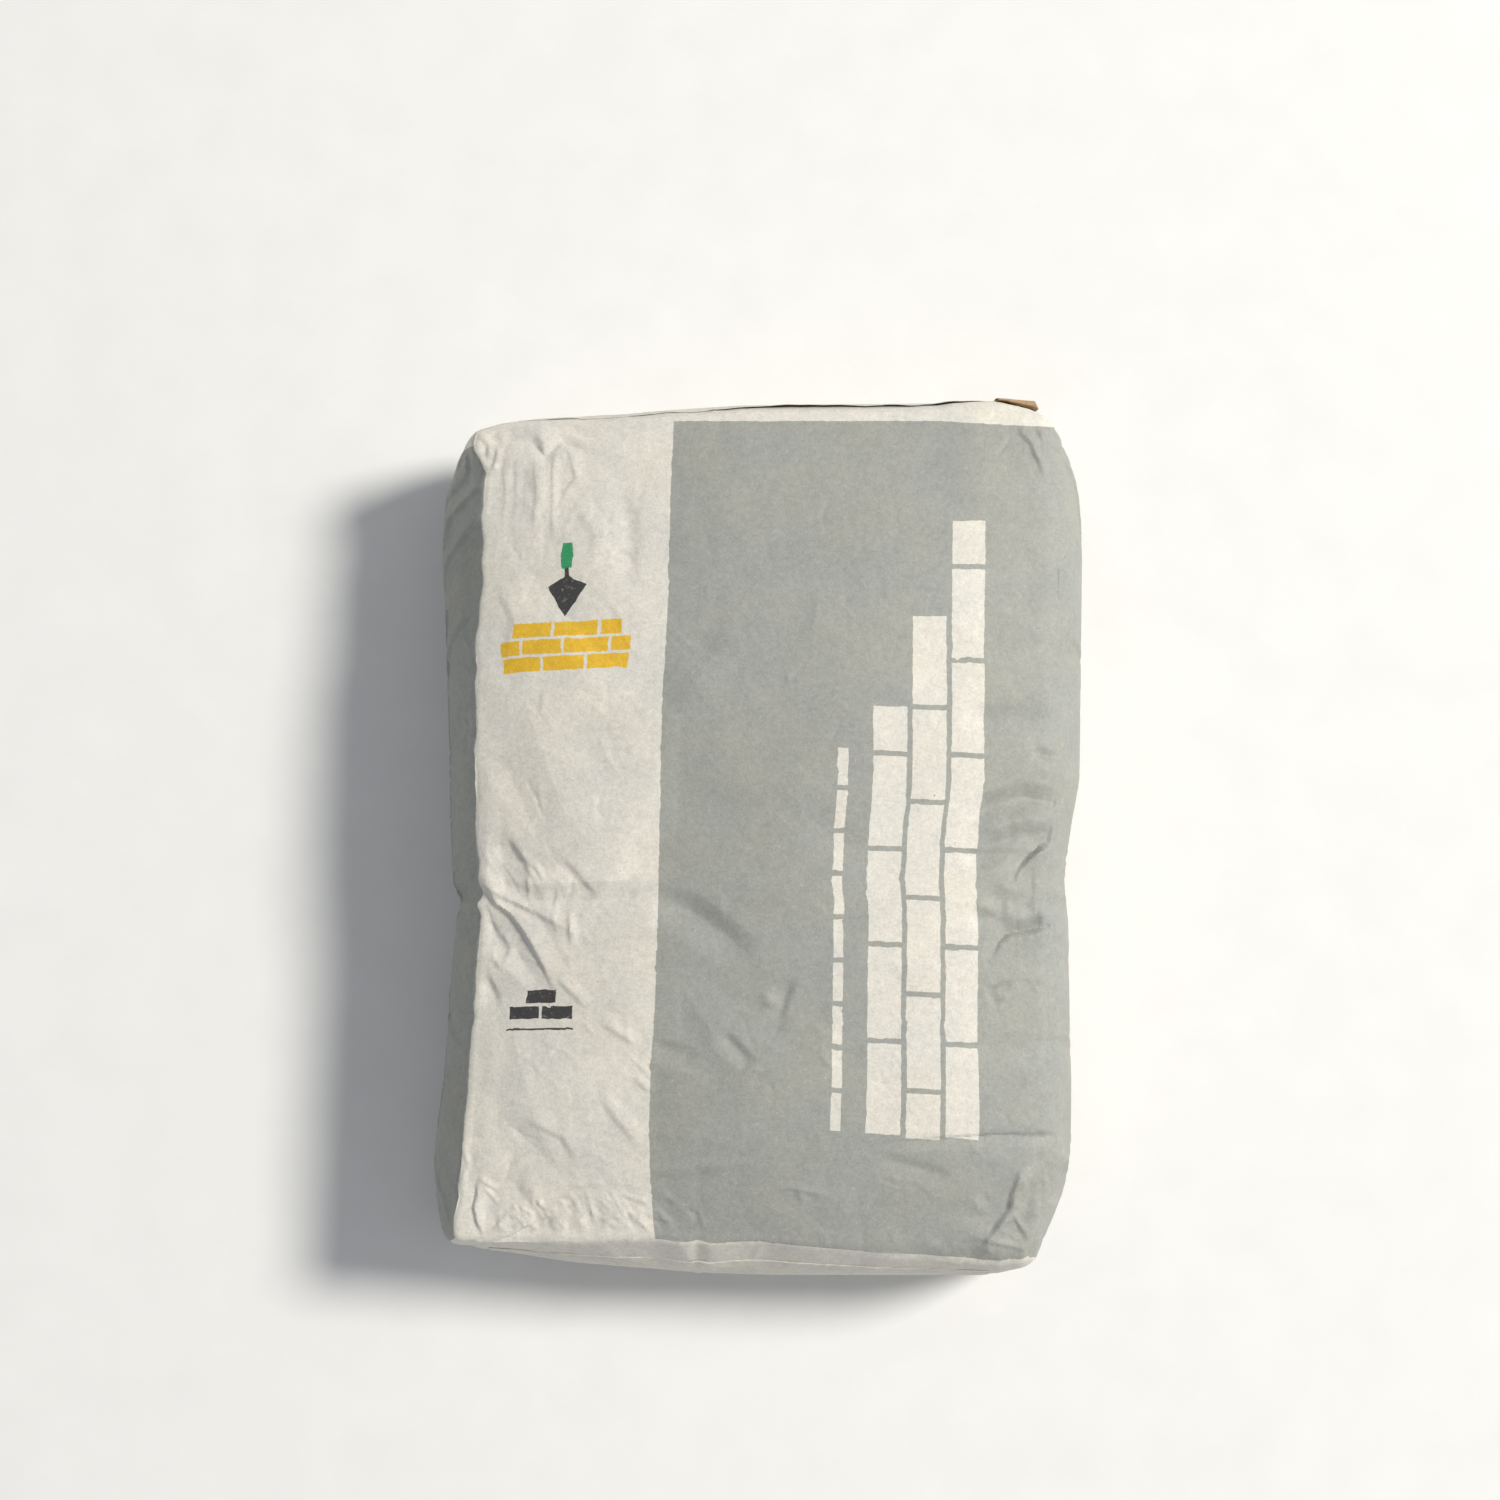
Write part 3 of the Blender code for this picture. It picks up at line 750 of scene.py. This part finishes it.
class Nodes:
    """Short forms for building a material's nodes."""

    def __init__(self, name):
        self.material = bpy.data.materials.new(name)
        self.material.use_nodes = True
        self.tree = self.material.node_tree
        self.shader = self.tree.nodes["Principled BSDF"]
        self.shader.inputs["Metallic"].default_value = 0

    def add(self, kind, inputs=None, **settings):
        node = self.tree.nodes.new(kind)
        for key, value in settings.items():
            setattr(node, key, value)
        for key, value in (inputs or {}).items():
            self.feed(node.inputs[key], value)
        return node

    def feed(self, socket, value):
        if isinstance(value, bpy.types.NodeSocket):
            self.tree.links.new(value, socket)
        else:
            socket.default_value = value

    def math(self, operation, a, b=0, c=0, clamp=False):
        inputs = {0: a, 1: b, 2: c}
        return self.add("ShaderNodeMath", inputs, operation=operation, use_clamp=clamp).outputs[0]

    def times(self, a, b):
        return self.math("MULTIPLY", a, b)

    def outside(self, mask):
        return self.math("SUBTRACT", 1, mask, clamp=True)

    def ramp(self, value, low, high, to_low, to_high, **settings):
        inputs = {"Value": value, "From Min": low, "From Max": high, "To Min": to_low, "To Max": to_high}
        return self.add("ShaderNodeMapRange", inputs, **settings).outputs[0]

    def between(self, value, low, high):
        """1 where value lies between low and high, with soft edges."""
        up, down = (
            self.ramp(value, edge - SOFT_EDGE, edge + SOFT_EDGE, *to, interpolation_type="SMOOTHSTEP")
            for edge, to in ((low, (0, 1)), (high, (1, 0)))
        )
        return self.times(up, down)

    def mix(self, factor, a, b, blend="MIX"):
        node = self.add("ShaderNodeMix", {0: factor, 6: a, 7: b}, data_type="RGBA", blend_type=blend)
        return node.outputs[2]

    def noise(self, scale, detail, vector, roughness=0.5, stretch=None):
        if stretch is not None:
            vector = self.add("ShaderNodeMapping", {"Scale": stretch, "Vector": vector}).outputs[0]
        inputs = {"Scale": scale, "Detail": detail, "Roughness": roughness, "Vector": vector}
        return self.add("ShaderNodeTexNoise", inputs).outputs["Fac"]

    def finish(self, colour, roughness, height, distance=0.00022):
        bump = self.add("ShaderNodeBump", {"Strength": 0.6, "Distance": distance, "Height": height})
        inputs = {"Base Color": colour, "Roughness": roughness, "Normal": bump.outputs[0]}
        for key, value in inputs.items():
            self.feed(self.shader.inputs[key], value)
        return self.material


WHITE = (0.71, 0.684, 0.624, 1)
GREY = (0.338, 0.346, 0.322, 1)
KRAFT = (0.4, 0.262, 0.15, 1)
INK = (0.03, 0.03, 0.032, 1)
YELLOW = (0.78, 0.47, 0.012, 1)
GREEN = (0.012, 0.3, 0.11, 1)
SIDE_INK = (0.16, 0.17, 0.17, 1)
DIRT = (0.3, 0.27, 0.21, 1)
SPECK = (0.2, 0.17, 0.13, 1)
PATCH = (0.7, 0.675, 0.61, 1)
PATCH_DIRT = (0.35, 0.31, 0.24, 1)
KRAFT_DIRT = (0.2, 0.13, 0.07, 1)
# Half the width of a printed edge's blur, and where the courses start from the plain end, in metres
SOFT_EDGE, COURSE_START = 0.0002, 0.058


def paper_grain(n, place):
    """Speckle, mottling and crinkles of sack paper: (tint, warmth, fine height)."""
    fibre = n.noise(1, 2, place, 0.6, (300, 900, 300))
    grain = n.noise(900, 2, place, 0.6)
    mottle = n.noise(330, 2, place, 0.55)
    cloud = n.noise(60, 3, place, 0.55)
    broad = n.noise(14, 2, place)
    tint = 1
    for spots, amount in ((fibre, 0.02), (grain, 0.085), (mottle, 0.06), (cloud, 0.04), (broad, 0.03)):
        tint = n.math("ADD", tint, n.ramp(spots, 0.3, 0.7, -amount, amount))
    warmth = n.ramp(n.noise(30, 3, place, 0.6), 0.35, 0.65, -0.5, 0.5)
    inputs = {"Scale": 95, "Detail": 3, "Distortion": 0.6, "Vector": place}
    ridged = n.add("ShaderNodeTexNoise", inputs, noise_type="RIDGED_MULTIFRACTAL", normalize=True)
    height = n.math("MULTIPLY_ADD", ridged.outputs["Fac"], 0.7, n.times(grain, 0.5))
    for size, turned, amount in ((52, (1, 0.62, 1), 4.6), (110, (0.7, 1, 1), 1.8)):
        inputs = {"Scale": turned, "Rotation": (0, 0, size * 0.013), "Vector": place}
        inputs = {"Scale": size, "Vector": n.add("ShaderNodeMapping", inputs).outputs[0]}
        facets = n.add("ShaderNodeTexVoronoi", inputs, feature="DISTANCE_TO_EDGE")
        some = n.ramp(n.noise(size * 0.24, 2, place), 0.44, 0.62, 0, amount)
        height = n.math("MULTIPLY_ADD", facets.outputs["Distance"], n.math("MAXIMUM", some, 0), height)
    return tint, warmth, n.math("MULTIPLY_ADD", mottle, 0.8, height)


def tinted(n, colour, tint, warmth):
    red, blue = (n.math("MULTIPLY_ADD", warmth, share, tint) for share in (0.014, -0.045))
    grey = n.add("ShaderNodeCombineColor", {0: red, 1: tint, 2: blue})
    return n.mix(1, colour, grey.outputs[0], "MULTIPLY")


def brick_course(n, along, across, low, high, start, stop, brick, joint, shift=0):
    """1 on the bricks of one course that lies from low to high and runs from start to stop."""
    phase = n.math("FRACT", n.math("DIVIDE", n.math("SUBTRACT", along, start + shift - 10 * brick), brick))
    solid = n.between(n.times(phase, brick), joint / 2, brick - joint / 2)
    inside = n.times(n.between(across, low + joint / 2, high - joint / 2), n.between(along, start, stop))
    return n.times(solid, inside)


def either(n, *masks):
    total = masks[0]
    for mask in masks[1:]:
        total = n.math("MAXIMUM", total, mask)
    return total


def trowel(n, x, y):
    """A pointing trowel that hangs point down from its handle: (blade and neck, handle)."""
    beside = n.math("ABSOLUTE", x)
    flank = n.math("MULTIPLY_ADD", y, 0.56, 0.56 * 0.024)
    shoulder = n.math("MULTIPLY_ADD", y, -1.7, 0.0108)
    blade = n.between(n.math("SUBTRACT", n.math("MINIMUM", flank, shoulder), beside), 0, 1)
    neck = n.times(n.between(x, -0.0012, 0.0012), n.between(y, 0.002, 0.013))
    taper = n.math("MULTIPLY_ADD", n.math("ABSOLUTE", n.math("SUBTRACT", y, 0.021)), -0.12, 0.0042)
    grip = n.times(n.between(n.math("SUBTRACT", taper, beside), 0, 1), n.between(y, 0.012, 0.031))
    return either(n, blade, neck), grip


def printed_paper():
    """White sack paper with grey ink: a bare band down one side of the front, and bare ends."""
    n = Nodes("printed_paper")
    place = n.add("ShaderNodeUVMap", uv_map="sheet").outputs["UV"]
    u, v, _ = n.add("ShaderNodeSeparateXYZ", {0: place}).outputs
    end = n.math("GREATER_THAN", v, 5)
    space = n.add("ShaderNodeTexCoord").outputs["Object"]
    tint, warmth, relief = paper_grain(n, space)
    width, _, depth = SHEET * MM

    ragged = n.ramp(n.noise(240, 2, space), 0.3, 0.7, -0.00018, 0.00018)
    edge_u = n.math("ADD", u, ragged)
    edge_v = n.math("ADD", v, ragged)
    back_band = n.between(edge_u, width + depth, width + depth + 0.092)
    printed = n.times(n.outside(n.between(edge_u, 0, BAND_WIDTH)), n.outside(back_band))
    printed = n.times(printed, n.between(edge_v, -0.001, INK_LENGTH))
    printed = n.times(printed, n.outside(end))

    # Stepped brickwork in bare paper down the front, and narrower courses down the sides
    brick, small, joint = 0.0468, 0.0212, 0.0026

    def course(low, high, count, shift=0, size=brick):
        stop = COURSE_START + count * size
        return brick_course(n, edge_v, edge_u, low, high, COURSE_START, stop, size, joint, shift)

    front, step, side = 0.193, 0.0192, 0.018
    courses = [course(0.176, 0.1835, 9, 0, small)]
    for k in range(3):
        courses.append(course(front + k * step, front + (k + 1) * step, 4.5 + k, k % 2 * brick / 2))
    for k in range(2):
        low = width + 0.034 + k * side
        courses.append(course(low, low + side, 5 + k, k * brick / 2))
    left_courses = either(n, course(-0.052, -0.034, 6), course(-0.07, -0.052, 5, brick / 2))
    printed = n.times(printed, n.outside(either(n, *courses)))
    ink_wear = n.ramp(n.noise(520, 3, space, 0.65), 0.6, 0.8, 1, 0.72)
    colour = n.mix(n.times(printed, ink_wear), WHITE, GREY)
    colour = n.mix(n.times(left_courses, 0.55), colour, SIDE_INK)

    # A trowel over a small wall, and three dark bricks lower down, on the bare band
    px = n.math("SUBTRACT", edge_u, 0.043)
    py = n.math("SUBTRACT", edge_v, 0.3345)
    steel, grip = trowel(n, n.math("DIVIDE", px, 0.7), n.math("DIVIDE", py, 0.7))
    rows = []
    for k, half in enumerate((0.025, 0.03, 0.03)):
        top = -0.019 - 0.0088 * k
        rows.append(brick_course(n, px, py, top - 0.0088, top, -half, half, 0.02, 0.0014, 0.01 * (k == 1)))
    wall = either(n, *rows)
    heap = either(
        n,
        brick_course(n, edge_u, edge_v, 0.112, 0.12, 0.018, 0.051, 0.0165, 0.0016),
        brick_course(n, edge_u, edge_v, 0.12, 0.128, 0.0263, 0.0427, 0.0164, 0.0016),
        n.times(n.between(edge_u, 0.018, 0.051), n.between(edge_v, 0.1072, 0.1082)),
    )
    fade = n.ramp(n.noise(600, 2, space, 0.6), 0.6, 0.8, 0.97, 0.6)
    colour = n.mix(n.times(either(n, steel, heap), fade), colour, INK)
    colour = n.mix(n.times(grip, fade), colour, GREEN)
    colour = n.mix(n.times(wall, fade), colour, YELLOW)

    colour = tinted(n, colour, tint, warmth)
    dirt = n.ramp(n.noise(75, 6, space, 0.72), 0.66, 0.76, 0, 0.34)
    colour = n.mix(dirt, colour, DIRT)
    specks = n.ramp(n.noise(330, 2, space, 0.5), 0.76, 0.8, 0, 0.6)
    colour = n.mix(specks, colour, SPECK)
    rough = n.ramp(n.noise(55, 3, space), 0.3, 0.7, 0.56, 0.72)
    return n.finish(colour, rough, relief)


def plain_paper(name, colour, rough_low, rough_high, dirt_colour):
    n = Nodes(name)
    space = n.add("ShaderNodeTexCoord").outputs["Object"]
    tint, warmth, relief = paper_grain(n, space)
    shade = tinted(n, colour, tint, warmth)
    dirt = n.ramp(n.noise(60, 5, space, 0.7), 0.66, 0.78, 0, 0.35)
    shade = n.mix(dirt, shade, dirt_colour)
    rough = n.ramp(n.noise(55, 3, space), 0.3, 0.7, rough_low, rough_high)
    return n.finish(shade, rough, relief)


def give(obj, material):
    obj.data.materials.clear()
    obj.data.materials.append(material)


def make_sack():
    paper, points = make_paper_form()
    points[:, 2] -= points[:, 2].min()
    sack = mesh_object("printed_sack", points * MM, paper.faces)
    sheet = sack.data.uv_layers.new(name="sheet")
    sheet.data.foreach_set("uv", sheet_places(paper, points).astype(np.float32).ravel())
    thin = sack.modifiers.new("thin", "DECIMATE")
    thin.ratio = SACK_TRIANGLES / (2 * len(paper.faces))
    thinned = bpy.data.meshes.new_from_object(sack.evaluated_get(bpy.context.evaluated_depsgraph_get()))
    sack.modifiers.clear()
    sack.data = thinned
    sack.data.shade_smooth()
    sack.data.set_sharp_from_angle(angle=math.radians(32))
    give(sack, printed_paper())
    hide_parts("paper_sack")
    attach(sack, "root")
    return paper, points


def thicken(obj, millimetres, offset, material):
    ply = obj.modifiers.new("ply", "SOLIDIFY")
    ply.thickness = millimetres * MM
    ply.offset = offset
    obj.data.shade_smooth()
    give(obj, material)


def make_patch(name, node, paper, points, material, panel, low_x, high_x, low_share, high_share, lip, seed):
    """A paper strip pasted over an end, between two shares of its height. Its top edge gapes by lip."""
    faces = paper.panel_faces[panel]
    flat = paper.flat[faces].mean(1)
    share = flat[:, 2] / SHEET[2] + 0.5
    centre = points[faces].mean(1)
    inside = (centre[:, 0] > low_x) & (centre[:, 0] < high_x) & (share > low_share) & (share < high_share)
    faces = faces[inside]
    used, renumbered = np.unique(faces, return_inverse=True)
    faces = renumbered.reshape(-1, 4)
    at, normal = points[used], paper.normals(points)[used]
    share = paper.flat[used, 2] / SHEET[2] + 0.5
    upper = smooth_step(high_share - 0.1, high_share, share)
    gape = smooth_step(low_x + 80, low_x + 130, at[:, 0]) * (1 - smooth_step(high_x - 12, high_x, at[:, 0]))
    gape *= np.clip(0.7 + 0.5 * soft_noise(at * (1, 0, 0), 30, seed + 1), 0.1, 1.3)
    lift = 0.22 + 0.05 * np.clip(soft_noise(at, 26, seed), -1, 1)
    if not lip:
        lift *= 1 - 0.8 * upper
    torn = 0.5 * soft_noise(at, 22, seed + 2) + 0.2 * soft_noise(at, 5, seed + 3)
    at = at + normal * (lift + upper * lip * gape)[:, None]
    at[:, 2] += np.clip(torn, -1, 0.6) * upper
    sides = smooth_step(0, 6, np.minimum(at[:, 0] - low_x, high_x - at[:, 0]))
    at[:, 0] += 0.3 * soft_noise(at, 9, seed + 4) * (1 - sides)
    patch = mesh_object(name, at * MM, faces)
    thicken(patch, 0.22, 1, material)
    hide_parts(node)
    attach(patch, "root")


def make_sleeve(points, material):
    """The valve's kraft tube beside the end, at the corner. Its outer ply stands straight off the sack."""
    rings, around, low, high = 20, 72, 18, 86
    start_x, length, straight_y = 120, 20.3, 219
    end = points[(points[:, 0] > 108) & (points[:, 1] > 180) & (points[:, 2] > 12) & (points[:, 2] < 92)]
    verts = []
    for i in range(rings):
        share = i / (rings - 1)
        top = high - 6 * share
        for j in range(around):
            angle = 2 * math.pi * j / around
            c, s = math.cos(angle), math.sin(angle)
            out = 0.5 + 0.5 * math.copysign(abs(s) ** 0.5, s)
            z = (top + low) / 2 + (top - low) / 2 * math.copysign(abs(c) ** 0.4, c)
            seen = np.array([[start_x + share * (length - 2.8 * out)], [straight_y - 0.4 * share], [top]])
            x, straight, _ = behind_the_frame(*seen)[0]
            near = end[(np.abs(end[:, 0] - x) < 2.5) & (np.abs(end[:, 2] - z) < 3)]
            inner = near[:, 1].max() + 0.35
            wave = 0.2 * math.sin(z * 0.21 + 1.3) * share + 0.1 * math.sin(z * 0.5 + x * 0.3)
            outer = max(straight, inner + 1) + wave
            edge = (0.4 * math.sin(z * 0.33) + 0.25 * math.sin(z * 0.9 + 1)) if i == rings - 1 else 0
            verts.append((x + edge, inner + (outer - inner) * out, z))
    ring, place = np.divmod(np.arange((rings - 1) * around), around)
    here, after = ring * around + place, ring * around + (place + 1) % around
    faces = np.stack([here, after, after + around, here + around], 1)
    sleeve = mesh_object("kraft_valve_sleeve", np.array(verts) * MM, faces[:, ::-1])
    thicken(sleeve, 0.35, 0, material)
    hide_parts("valve_sleeve")
    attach(sleeve, "root")


# The lamp, in metres and watts, and the sky's light
KEY_PLACE, KEY_SIZE, KEY_WATTS, KEY_COLOUR = (4.65, 1.42, 5.03), 1.8, 490, (1, 0.965, 0.885)
SKY, SKY_STRENGTH = (0.93, 0.96, 1, 1), 0.36


def make_stage():
    """A plain pale floor."""
    bpy.ops.mesh.primitive_plane_add(size=8, location=(0, 0, -0.0002))
    floor = bpy.context.object
    floor.name = "floor"
    n = Nodes("floor")
    speck = n.noise(30, 3, n.add("ShaderNodeTexCoord").outputs["Object"])
    colour = n.mix(n.ramp(speck, 0.3, 0.7, 0, 1), (0.86, 0.86, 0.86, 1), (0.89, 0.89, 0.89, 1))
    give(floor, n.finish(colour, 0.8, speck, 0.0001))


def make_light_and_camera():
    scene = bpy.context.scene
    scene.view_settings.view_transform = "Standard"
    world = bpy.data.worlds.new("studio")
    world.use_nodes = True
    sky = world.node_tree.nodes["Background"].inputs
    sky["Color"].default_value = SKY
    sky["Strength"].default_value = SKY_STRENGTH
    scene.world = world
    key = bpy.data.lights.new("key", "AREA")
    key.shape = "DISK"
    key.size = KEY_SIZE
    key.energy = KEY_WATTS
    key.color = KEY_COLOUR
    lamp = bpy.data.objects.new("key", key)
    lamp.location = KEY_PLACE
    lamp.rotation_euler = (Vector((0, 0, 0.05)) - lamp.location).to_track_quat("-Z", "Y").to_euler()
    scene.collection.objects.link(lamp)

    right, up, back, depth = camera_axes()
    camera = bpy.data.cameras.new("camera")
    camera.sensor_width = 36
    camera.lens = PX_PER_MM * depth / FRAME_PX * camera.sensor_width
    eye = bpy.data.objects.new("camera", camera)
    turned = Matrix((right, up, back)).transposed().to_4x4()
    eye.matrix_world = Matrix.Translation(EYE * MM) @ turned
    scene.collection.objects.link(eye)
    scene.camera = eye


paper, points = make_sack()
white = plain_paper("white_patch_paper", PATCH, 0.62, 0.76, PATCH_DIRT)
for name, node, panel, *extent in (
    ("valve_end_cover", "valve_end_patch", VALVE, -121.5, 117, 0.08, 0.91, 1.3, 5),
    ("plain_end_cover", "plain_end_patch", PLAIN, -132.5, 110.5, 0.08, 0.82, 0, 8),
):
    make_patch(name, node, paper, points, white, panel, *extent)
make_sleeve(points, plain_paper("brown_kraft_paper", KRAFT, 0.68, 0.82, KRAFT_DIRT))
make_stage()
make_light_and_camera()
